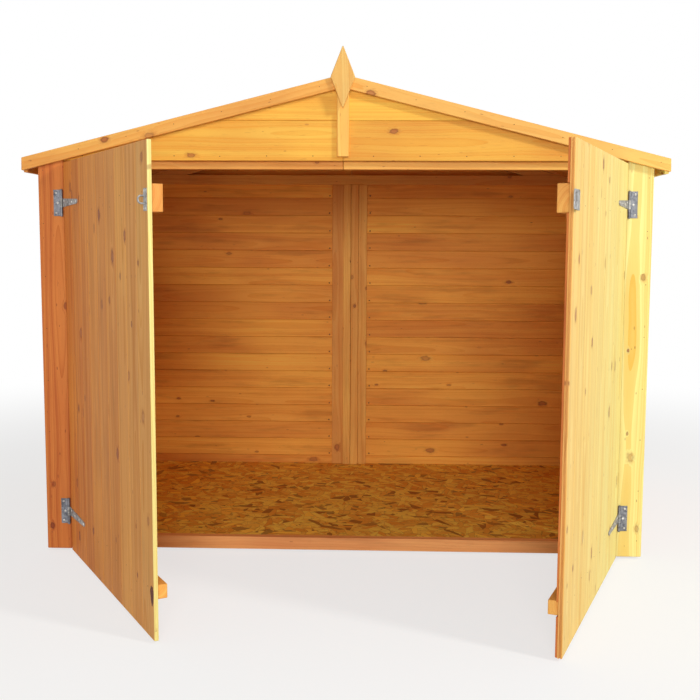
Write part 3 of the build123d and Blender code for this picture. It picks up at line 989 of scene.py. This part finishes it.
# %% [markdown]
# Roofing felt
#
# Mineral felt is a limp sheet with a skin of crushed stone. It comes off a roll, so it never
# lies quite flat: it dips a little between the nails and lifts at its laps. The sheet is a
# function of (distance over the roof, distance to the back): a fold line over eaves and ridge
# with a low wave added square to it. A narrower strip covers the ridge, lapped over both
# slopes.

# %% The felt's surface

felt_thickness = 0.002
felt_bend = 0.004
felt_lift = 0.00042
flat_border = 0.05
points_over_roof, points_to_back = 90, 60


def felt_line(reach, drop, turned_down, count):
    """Points and outward normals over the roof from one edge to the other, evenly spaced."""
    eave_z = roof_height(reach, drop)
    over = [(reach, eave_z), (0.0, roof_height(0.0, drop)), (-reach, eave_z)]
    if turned_down:
        over = [(reach, eave_z - turned_down), *over, (-reach, eave_z - turned_down)]
    path = np.array(over)
    runs = np.linalg.norm(np.diff(path, axis=0), axis=1)
    marks = np.concatenate([[0], np.cumsum(runs)])
    bends = [mark + side for mark in marks[1:-1] for side in (-felt_bend, 0.0, felt_bend)]
    places = np.unique(np.concatenate([np.linspace(0, marks[-1], count), bends]))
    line = np.stack([np.interp(places, marks, column) for column in path.T], 1)
    run = np.gradient(line, axis=0)
    normal = np.stack([run[:, 1], -run[:, 0]], 1)
    normal /= np.linalg.norm(normal, axis=1)[:, None]
    return places, line, normal


def felt_wave(u, v, phase):
    """sin 9u sin 11v + 0.6 sin(23u - 17v), fading to nothing at the front and back edge."""
    wave = (np.sin(u * 9.0 + phase) * np.sin(v * 11.0 + 1.3 * phase)
            + 0.6 * np.sin(u * 23.0 - v * 17.0))
    from_edge = np.minimum(v - v.min(), flat_border) * np.minimum(v.max() - v, flat_border)
    return wave * from_edge / flat_border ** 2


def felt_sheet(reach, drop, turned_down, front, back, thickness, phase):
    """A closed sheet: the top grid, the bottom grid and the walls between their borders."""
    places, line, normal = felt_line(reach, drop, turned_down, points_over_roof)
    u, v = np.meshgrid(places, np.linspace(front, back, points_to_back), indexing="ij")

    def offset(height):
        x, z = [line[:, k:k + 1] + normal[:, k:k + 1] * height for k in (0, 1)]
        return np.stack([x, v, z], -1)

    top = offset(felt_lift * felt_wave(u, v, phase))
    under = offset(np.full(u.shape, -thickness))
    rows, columns = u.shape
    i, j = np.meshgrid(np.arange(rows - 1), np.arange(columns - 1), indexing="ij")
    index = i * columns + j
    over = np.stack([index, index + columns, index + columns + 1, index + 1], -1).reshape(-1, 4)
    shift = rows * columns
    border = np.concatenate([np.arange(columns), np.arange(1, rows) * columns + columns - 1,
                             (rows - 1) * columns + np.arange(columns - 2, -1, -1),
                             np.arange(rows - 2, 0, -1) * columns])
    after = np.roll(border, -1)
    walls = np.stack([border, after, after + shift, border + shift], -1)
    faces = np.concatenate([over, over[:, ::-1] + shift, walls])
    return np.concatenate([top.reshape(-1, 3), under.reshape(-1, 3)]), faces.tolist()


print("felt thickness:", felt_thickness, "lift of its waves:", felt_lift)

# %% [markdown]
# Crushed stone
#
# The felt's weather side is pressed full of grey-green slate grains about a millimetre wide.
# They could be displaced points, but a Voronoi texture on the colour and the bump says the
# same at this size. Large cloudy noise adds the moss that follows, and a stretched one the
# rain's tracks.

# %% The felt's material and its two pieces


def mineral_felt():
    """Grey chosen grain by grain, then moss, then tracks, each through a Mix."""
    felt = Finish("mineral_felt", Roughness=0.92, Specular_IOR_Level=0.25)
    place = felt.held()
    grit = felt.node("ShaderNodeTexVoronoi", None, {"Vector": place, "Scale": 900.0}, "Color")
    speck, _, _ = felt.split(grit)
    cloud = felt.noise(place, (5.0, 5.0, 5.0), 4.0, 0.6)
    streak = felt.noise(place, (2.0, 40.0, 2.0), 3.0)
    colour = felt.mix(speck ** 2.0, linear(62, 66, 62), linear(126, 128, 120))
    colour = felt.mix(cloud.step(0.35, 0.75) * 0.5, colour, linear(72, 82, 70))
    colour = felt.mix(streak.step(0.55, 0.8) * 0.25, colour, linear(120, 112, 92))
    felt.feed("Base Color", colour)
    felt.feed("Roughness", 0.86 + speck * 0.12)
    felt.bump(speck + cloud * 2.0, 0.0008, 0.8)
    return felt.material


felt_finish = mineral_felt()
felt_low, felt_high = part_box("roof_felt")
trim_upstand = (ridge_top - felt_apex) * cos_pitch
turned_down = roof_height(roof_half_width, trim_upstand + felt_thickness) - felt_low[2]
room_for_waves = 0.0015
sheet_sunk = 0.0008
strip_raised = 0.0014
ridge_strip_reach = 0.19
ends = felt_low[1], felt_high[1]
add_piece("roof_felt_sheet",
          [felt_sheet(roof_half_width - room_for_waves, trim_upstand + sheet_sunk, turned_down,
                      *ends, felt_thickness - sheet_sunk, 0.4)],
          felt_finish, "shelter", ["roof_felt"], smooth=True)
add_piece("roof_felt_ridge_strip",
          [felt_sheet(ridge_strip_reach, trim_upstand - strip_raised, 0.0, *ends, strip_raised,
                      2.1)],
          felt_finish, "shelter", smooth=True)

# %% [markdown]
# Oriented strand board
#
# The floor and the roof deck are sheets of pressed wood flakes. A flake is about 80 mm long
# and 15 mm wide and lies at any angle. Five Voronoi textures, each turned another way and then
# squeezed, give five layers of flakes. Every flake has a random height, and the highest one at
# a point is the one that shows, with its own shade and its own run of fibres. A few flakes are
# bark, nearly black.

# %% The strand board material

layer_turns = (0.12, 1.0, 1.75, 2.55, 0.55)


def strand_board(name, pale, deep, dark):
    """At each point the layer with the greatest random height gives shade, fibre and edge."""
    board = Finish(name, Roughness=0.55, Specular_IOR_Level=0.35)
    place = board.held()
    wave = board.node("ShaderNodeTexNoise", None, {"Vector": place, "Scale": 16.0}, "Color")
    shift = board.node("ShaderNodeVectorMath", {"operation": "SCALE"}, {0: wave, "Scale": 0.014})
    bent = board.node("ShaderNodeVectorMath", {"operation": "ADD"}, {0: place, 1: shift})
    kind = {"voronoi_dimensions": "2D"}
    height = shade = bark = rim = fibre = None
    for layer, angle in enumerate(layer_turns):
        cells = {"Vector": board.stretch(bent, (13.0 + 2 * layer, 58.0 - 5 * layer, 1.0), angle),
                 "Scale": 1.0}
        found = board.split(board.node("ShaderNodeTexVoronoi", kind, cells, "Color"))
        found.append(board.node("ShaderNodeTexVoronoi", {**kind, "feature": "DISTANCE_TO_EDGE"},
                                cells, "Distance"))
        found.append(board.node("ShaderNodeTexNoise", None,
                                {"Vector": board.stretch(bent, (20.0, 420.0, 1.0), angle),
                                 "Scale": 1.0, "Detail": 1.0}))
        if height is None:
            height, shade, bark, rim, fibre = found
            continue
        above = found[0].math("GREATER_THAN", found[0], height)
        height = height.math("MAXIMUM", found[0], height)
        shade, bark, rim, fibre = [old + (new - old) * above
                                   for old, new in zip((shade, bark, rim, fibre), found[1:])]
    cloud = board.noise(place, (7.0, 7.0, 7.0), 3.0, 0.6)
    colour = board.mix((shade * 0.75 + cloud * 0.5).step(0.2, 0.95), pale, deep)
    colour = board.mix(fibre.step(0.4, 0.75) * 0.4, colour, deep)
    colour = board.mix(shade.step(0.9, 0.93) * 0.5, colour, scaled(pale, 1.35))
    colour = board.mix((1 - rim.step(0.0, 0.09)) * 0.45, colour, dark)
    colour = board.mix(bark.step(0.9, 0.93) * 0.7, colour, dark)
    speck = board.noise(place, (95.0, 95.0, 95.0), 2.0, 0.6)
    colour = board.mix(speck.step(0.66, 0.72) * 0.7, colour, dark)
    board.feed("Base Color", colour)
    board.feed("Roughness", 0.5 + shade * 0.2)
    board.bump(height + rim.step(0.0, 0.1) + fibre * 0.4, 0.0009, 0.6)
    return board.material


floor_board = strand_board("floor_strand_board", linear(255, 222, 92), linear(230, 156, 52),
                           linear(124, 64, 20))
deck_board = strand_board("deck_strand_board", linear(222, 176, 108), linear(190, 134, 70),
                          linear(120, 72, 34))
set_material(floor_board, "floor_sheet_left", "floor_sheet_right")
set_material(deck_board, "roof_sheet_left", "roof_sheet_right")

# %% [markdown]
# Galvanised ironwork
#
# Hinges, hasp and staple keep their CAD shapes, which turn on real pins. Hot-dipped zinc
# freezes in flat crystals, each reflecting a little differently, and dulls to grey where it
# is handled. A Voronoi texture gives the crystals, and noise the dull patches. The nails are
# made of the same material in rust brown.

# %% The zinc material

crystals_per_metre = 160.0


def zinc(name, pale, dull):
    """Crystal by crystal between two greys, with duller and rougher patches over them."""
    metal = Finish(name, Metallic=0.8, Roughness=0.56)
    place = metal.held()
    crystal = metal.node("ShaderNodeTexVoronoi", None,
                         {"Vector": place, "Scale": crystals_per_metre}, "Color")
    facet, _, _ = metal.split(crystal)
    patch = metal.noise(place, (28.0, 28.0, 28.0), 4.0, 0.6)
    colour = metal.mix(facet, dull, pale)
    colour = metal.mix(patch.step(0.5, 0.72) * 0.6, colour, scaled(dull, 0.55))
    metal.feed("Base Color", colour)
    metal.feed("Roughness", 0.5 + facet * 0.12 + patch.step(0.5, 0.75) * 0.2)
    metal.bump(patch + facet * 0.3, 0.0003, 0.4)
    return metal.material


galvanised = zinc("galvanised_steel", linear(186, 186, 184), linear(136, 134, 132))
plate_zinc = zinc("hinge_plate_zinc", linear(146, 148, 154), linear(98, 100, 108))
# Screw heads are near-white zinc, brighter than the plates: partly their own shine, partly a
# painted highlight.
screw_zinc_painted_highlight = zinc("screw_zinc_painted_highlight", linear(232, 230, 224), linear(190, 188, 184))
nail_iron = zinc("nail_iron", linear(150, 104, 66), linear(112, 70, 40))
set_material(plate_zinc, "hinge_plates")
set_material(galvanised, "left_door_straps", "right_door_straps", "hasp_plate", "hasp_flap",
             "hasp_staple")

# %% [markdown]
# Heads of screws and nails
#
# Screws and nails show only their heads, so only the heads are made: low domes let in a
# little below the surface. A screw gets a cross-shaped slot, which needs a finer grid than
# a nail's plain dome. All heads of a row are one array: the dome of one, set at each centre.

# %% Domed heads

let_in = 0.0004
slot_half_width, slot_reach, slot_depth = 0.14, 0.66, 0.9
screw_rings, screw_points = (1.0, 0.97, 0.8, 0.62, 0.45, 0.28, 0.12), 24
nail_rings, nail_points = (1.0, 0.7), 8


def heads(centres, normal, radius, rise, cross=False, door=None):
    """Round heads: rings r x angles a on a dome, rise (1 - (r/R)^4), less a cross-shaped slot."""
    centres = np.asarray(centres, float)
    normal = np.asarray(normal, float)
    side = np.cross(normal, Z) if abs(normal[2]) < 0.9 else X
    side /= np.linalg.norm(side)
    upward = np.cross(side, normal)
    shares, count = (screw_rings, screw_points) if cross else (nail_rings, nail_points)
    angles = np.arange(count) * 2 * math.pi / count
    share, angle = np.meshgrid(shares, angles, indexing="ij")
    a, b = share * np.cos(angle) * radius, share * np.sin(angle) * radius
    height = rise * (1 - share ** 4)
    if cross:
        nearer_axis = np.minimum(np.abs(a), np.abs(b))
        slot = (nearer_axis < radius * slot_half_width) & (share < slot_reach)
        height = height - np.where(slot, rise * slot_depth, 0.0)
    flat = np.stack([a.ravel(), b.ravel(), height.ravel()], 1)
    flat = np.concatenate([flat, [(0, 0, height[-1].min())], [(0, 0, -let_in)]])
    flat[:count, 2] = -let_in
    rings = len(shares)
    inner = (rings - 1) * count + np.arange(count)
    tip = np.stack([inner, np.roll(inner, -1), np.full(count, rings * count)], -1)
    outer = np.arange(count)
    foot = np.stack([np.roll(outer, -1), outer, np.full(count, rings * count + 1)], -1)
    one = between_rings(rings, count).tolist() + tip.tolist() + foot.tolist()
    if np.linalg.det([side, upward, normal]) < 0:
        one = [face[::-1] for face in one]
    placed = centres[:, None, :] + flat[None] @ np.array([side, upward, normal])
    faces = [[corner + n * len(flat) for corner in face]
             for n in range(len(centres)) for face in one]
    return swing(placed.reshape(-1, 3), door), faces


print("faces of one nail head:", len(heads([(0, 0, 0)], -Y, 0.002, 0.0004)[1]))

# %% [markdown]
# Screws in the ironwork
#
# Each fixed plate has three screws, set a little zigzag so that they don't split the board,
# and each strap has four. The hasp's plate and the staple's plate have one in each corner.
# The places are counted from the CAD boxes, so they stay on the iron.

# %% Screws

front_y = solids("corner_boards_front")[0][0][1]
plate_sheet = 0.002
plate_middle = 0.010
plate_screw_spread = 0.030
plate_screw_shift = 0.0025
strap_screw_places = ((0.06, 0.0), (0.34, 0.0), (0.62, 0.0), (0.86, 0.006))
screw_radius, screw_rise = 0.0034, 0.0011
hasp_screw_radius, hasp_screw_rise = 0.0032, 0.0009
staple_screw_radius, staple_screw_rise = 0.0028, 0.0008


def middle_of(box):
    """The point halfway between a box's lowest and highest corner."""
    return (box[0] + box[1]) / 2


def hinge_screws():
    """Three screws down each fixed plate, on the corner boards."""
    spots = []
    for box in solids("hinge_plates"):
        if box[0][0] > 0:
            x, middle = box[1][0] - plate_middle, middle_of(box)[2]
            spots += [(sign * (x + side * plate_screw_shift), front_y - plate_sheet,
                       middle + rise * plate_screw_spread)
                      for sign in (-1, 1) for rise, side in ((-1, 1), (0, -1), (1, 1))]
    return spots


def strap_screws(door):
    """Four screws along each strap, as shares of its length and heights off its middle."""
    sign = 1 if door == "right" else -1
    spots = []
    for box in solids("right_door_straps", "right"):
        lowest, highest = box
        spots += [(sign * (lowest[0] + share * (highest[0] - lowest[0])), front_y - plate_sheet,
                   middle_of(box)[2] + rise) for share, rise in strap_screw_places]
    return spots


def hasp_screws():
    """Two pairs, 7 and 21 mm from the end of the hasp's plate."""
    box = solids("hasp_plate", "right")[0]
    return [(box[1][0] - inset, front_y - plate_sheet, middle_of(box)[2] + rise)
            for inset in (0.007, 0.021) for rise in (-0.0145, 0.0145)]


def staple_screws():
    """A pair above the staple's wire and a pair below it, in its thinner plate."""
    x, _, z = middle_of(solids("hasp_staple", "left")[0])
    return [(x + shift, front_y - 0.0015, z + rise)
            for rise in (-0.0205, 0.0205) for shift in (-0.006, 0.006)]


add_piece("hinge_plate_screws", [heads(hinge_screws(), -Y, screw_radius, screw_rise, True)],
          screw_zinc_painted_highlight, "shelter")
for door in ("left", "right"):
    add_piece(f"{door}_strap_screws",
              [heads(strap_screws(door), -Y, screw_radius, screw_rise, True, door)],
              screw_zinc_painted_highlight, f"{door}_door")
add_piece("hasp_plate_screws",
          [heads(hasp_screws(), -Y, hasp_screw_radius, hasp_screw_rise, True, "right")],
          screw_zinc_painted_highlight, "right_door")
add_piece("staple_screws",
          [heads(staple_screws(), -Y, staple_screw_radius, staple_screw_rise, True, "left")],
          screw_zinc_painted_highlight, "left_door")

# %% [markdown]
# Nails
#
# Boards are nailed to whatever stands behind them, and the rows of small dark heads tell
# where that is: one in every course beside the back battens, and one in every door board over
# each ledge. No hammer hits a line exactly, so every head is moved by up to a millimetre.

# %% Nails in the back wall and the leaves

nail_radius, nail_rise = 0.0017, 0.0004
wall_nail_radius, wall_nail_rise = 0.0034, 0.0006
beside_flank = 0.012
lowest_nail, below_rail = 0.08, 0.02
off_the_line = 0.0012


def scatter(points):
    """Moves points a little to the side and up or down, and not in or out."""
    points = np.asarray(points, float)
    return points + rng.uniform(-off_the_line, off_the_line, points.shape) * (1, 0, 1)


def inner_nails():
    """One in each course, beside the left flank and beside the right one."""
    wall_low = solids("back_wall_left")[0][0]
    rows = np.arange(wall_low[2] + lowest_nail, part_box("back_rail")[0][2] - below_rail,
                     course_height)
    left, right = solids("back_battens")
    return [(x, wall_low[1], z) for x in (left[0][0] - beside_flank, right[1][0] + beside_flank)
            for z in rows]


def ledge_nails(door):
    """The middle of each board, turn about above and below the middle of the ledge."""
    lowest, highest = solids(f"{door}_door_boards", door)[0]
    width = (highest[0] - lowest[0]) / boards_per_leaf
    spots = []
    for ledge_low, ledge_high in solids(f"{door}_door_ledges", door):
        middle, stagger = (ledge_low[2] + ledge_high[2]) / 2, (ledge_high[2] - ledge_low[2]) / 5
        for number in range(boards_per_leaf):
            x = lowest[0] + (number + 0.5) * width
            if ledge_low[0] < x < ledge_high[0]:
                spots.append((x, lowest[1], middle + (-1) ** number * stagger))
    return spots


add_piece("back_wall_inner_nails",
          [heads(scatter(inner_nails()), -Y, wall_nail_radius, wall_nail_rise)], nail_iron,
          "shelter")
for door in ("left", "right"):
    add_piece(f"{door}_door_nails",
              [heads(scatter(ledge_nails(door)), -Y, nail_radius, nail_rise, door=door)],
              nail_iron, f"{door}_door")

# %% [markdown]
# Nails outside
#
# The corner boards are nailed down their outer edge, the gable boards along the rail behind
# them, and the bargeboards along their rafters. Felt takes clout nails, with heads broad
# enough not to tear it, down both edges of the ridge strip.

# %% Nails in the front, the roof edge and the felt

corner_nails, gable_nails, barge_nails_a_side = 8, 6, 7
in_from_edge = 0.014
end_space = 0.05
gable_nails_run = (0.09, 0.78)
barge_nails_start, barge_nails_stop, barge_nails_drop = 0.07, 0.03, 0.018
clout_radius, clout_rise, clout_spacing = 0.0045, 0.0010, 0.095
clout_inset, clouts_start, clouts_stop = 0.018, 0.06, 0.03


def front_nails():
    """Down the outer edge of the corner boards, and across the gable boards along their rail."""
    spots = []
    for lowest, highest in solids("corner_boards_front"):
        top = roof_height(highest[0], roof_build_up)
        x = highest[0] - in_from_edge if lowest[0] > 0 else lowest[0] + in_from_edge
        spots += [(x, lowest[1], z)
                  for z in np.linspace(lowest[2] + end_space, top - end_space, corner_nails)]
    gable_low = solids("front_gable_panels")[0][0]
    for x in np.linspace(*gable_nails_run, gable_nails):
        spots += [(sign * x, gable_low[1], gable_low[2] + in_from_edge) for sign in (-1, 1)]
    return spots


def barge_nails(y):
    """Evenly from the ridge to the eaves, about the middle of the boards."""
    places = np.linspace(barge_nails_start, roof_half_width - barge_nails_stop,
                         barge_nails_a_side)
    return [(sign * x, y, roof_height(x, barge_nails_drop)) for x in places for sign in (-1, 1)]


def felt_clouts(sign):
    """A row of broad-headed nails down one edge of the ridge strip."""
    x = sign * (ridge_strip_reach - clout_inset)
    z = roof_height(x, trim_upstand - strip_raised) + let_in
    rows = np.arange(felt_low[1] + clouts_start, felt_high[1] - clouts_stop, clout_spacing)
    return [(x, y, z) for y in rows]


add_piece("front_nails", [heads(scatter(front_nails()), -Y, nail_radius, nail_rise)], nail_iron,
          "shelter")
add_piece("felt_clout_nails",
          [heads(felt_clouts(sign), (sign * sin_pitch, 0, cos_pitch), clout_radius, clout_rise)
           for sign in (-1, 1)], galvanised, "shelter")
barge_front = solids("bargeboards_front")[0][0][1]
barge_back = solids("bargeboards_back")[0][1][1]
add_piece("bargeboard_nails",
          [heads(scatter(barge_nails(y)), out, nail_radius, nail_rise)
           for y, out in ((barge_front, -Y), (barge_back, Y))],
          nail_iron, "shelter")

# %% [markdown]
# The floor of the studio
#
# The floor is pale and takes the shelter's shadow. To camera rays it also glows: with two
# thirds of the background's white even in full shade, and with all of it far from the
# shelter, where floor and background have to meet without a line. The glow is mixed in by
# Light Path, so that it adds no light to the object.

# %% The floor

white = (1.0, 1.0, 1.0, 1.0)
background_rays = ("Camera", "Glossy", "Transmission")
floor_half = 30.0
floor_drop = 0.0005
floor_colour = (0.86, 0.86, 0.86, 1.0)
near_white = 0.68
whitening_starts, all_white = 1.4, 4.0
floor_mesh = bpy.data.meshes.new("studio_floor")
floor_mesh.from_pydata([(x * floor_half, y * floor_half, 0)
                        for x, y in ((-1, -1), (1, -1), (1, 1), (-1, 1))], [], [(0, 1, 2, 3)])
studio_floor = new_object("studio_floor", floor_mesh)
studio_floor.location.z = -floor_drop

pale = Finish("studio_floor", Roughness=0.9, Base_Color=floor_colour)
floor_x, floor_y, _ = pale.split(pale.held())
away = ((floor_x * floor_x + floor_y * floor_y) ** 0.5).step(whitening_starts, all_white)
glow = pale.node("ShaderNodeEmission", None, {"Color": white, "Strength": 1.0})
pale.surface((near_white + away * (1 - near_white)) * pale.seen_by(*background_rays),
             Wire(pale, pale.shader.outputs[0]), glow)
floor_mesh.materials.append(pale.material)
print("floor white from", all_white, "m outwards")

# %% [markdown]
# Background and light
#
# The photograph was cut out on white and lit by a low sun from the right. A round lamp stands
# in for the sun, small enough for the eaves to cast a shadow with an edge, so that the left
# door's face stays in shade. A broad lamp beside the camera reaches the back wall. An even
# world fills the rest, and is plain white wherever it is seen itself.

# %% The world and the lamps

daylight = (1.0, 0.98, 0.95)
sky_strength = 0.37

world = bpy.data.worlds.new("studio")
world.use_nodes = True
bpy.context.scene.world = world
sky = Graph(world.node_tree)
sky.tree.nodes.remove(sky.tree.nodes["Background"])
lit, shown = [sky.node("ShaderNodeBackground", None, {"Color": colour, "Strength": strength})
              for colour, strength in (((*daylight, 1.0), sky_strength), (white, 1.0))]
sky.surface(sky.seen_by(*background_rays), lit, shown)
aim = Vector((0.0, -0.3, 0.6))


def round_lamp(name, azimuth, height, distance, size, power, colour):
    """A disk that looks at aim from azimuth degrees right of the front and height degrees up."""
    lamp = bpy.data.lights.new(name, "AREA")
    lamp.shape = "DISK"
    lamp.size, lamp.energy, lamp.color = size, power, colour
    turn, lift = math.radians(azimuth), math.radians(height)
    towards = Vector((math.sin(turn) * math.cos(lift), -math.cos(turn) * math.cos(lift),
                      math.sin(lift)))
    placed = new_object(name, lamp)
    placed.location = aim + towards * distance
    placed.rotation_mode = "QUATERNION"
    placed.rotation_quaternion = towards.to_track_quat("Z", "Y")
    print(name, "at", [round(value, 2) for value in placed.location])


round_lamp("sun", 54, 29, 6.0, 0.7, 161.0, (1.0, 0.98, 0.93))
round_lamp("fill", 1, 11, 7.0, 2.0, 174.0, daylight)

# %% [markdown]
# The camera
#
# The camera stands where the photograph was taken from, worked out from the edges of the
# doorway, floor and doors: just right of the middle, a metre up, 3.6 m from the shelter's
# centre, turned a little to the left and tipped six degrees down.

# %% Place the camera

camera_place = Vector((0.1323, -3.6449, 0.9613))
turned_left = 0.0353
tipped_down = 0.1058
rolled = 0.0047
focal_pixels = 1026.4
picture_pixels = 700
sensor = 36.0

forward = Vector((-math.sin(turned_left) * math.cos(tipped_down),
                  math.cos(turned_left) * math.cos(tipped_down), -math.sin(tipped_down)))
right = Vector((math.cos(turned_left), math.sin(turned_left), 0.0))
up = right.cross(forward)
rolled_right = right * math.cos(rolled) + up * math.sin(rolled)
rolled_up = up * math.cos(rolled) - right * math.sin(rolled)
camera_data = bpy.data.cameras.new("camera")
camera_data.sensor_width = sensor
camera_data.lens = focal_pixels * sensor / picture_pixels
camera = new_object("camera", camera_data)
camera.matrix_world = Matrix((rolled_right, rolled_up, -forward)).transposed().to_4x4()
camera.location = camera_place
bpy.context.scene.camera = camera
bpy.context.scene.view_settings.view_transform = "Standard"
print(f"lens {camera_data.lens:.1f} mm at", [round(value, 2) for value in camera.location])

# %% [markdown]
# The sizes
#
# The boards have to stay inside the box of the CAD model.

# %% Finish
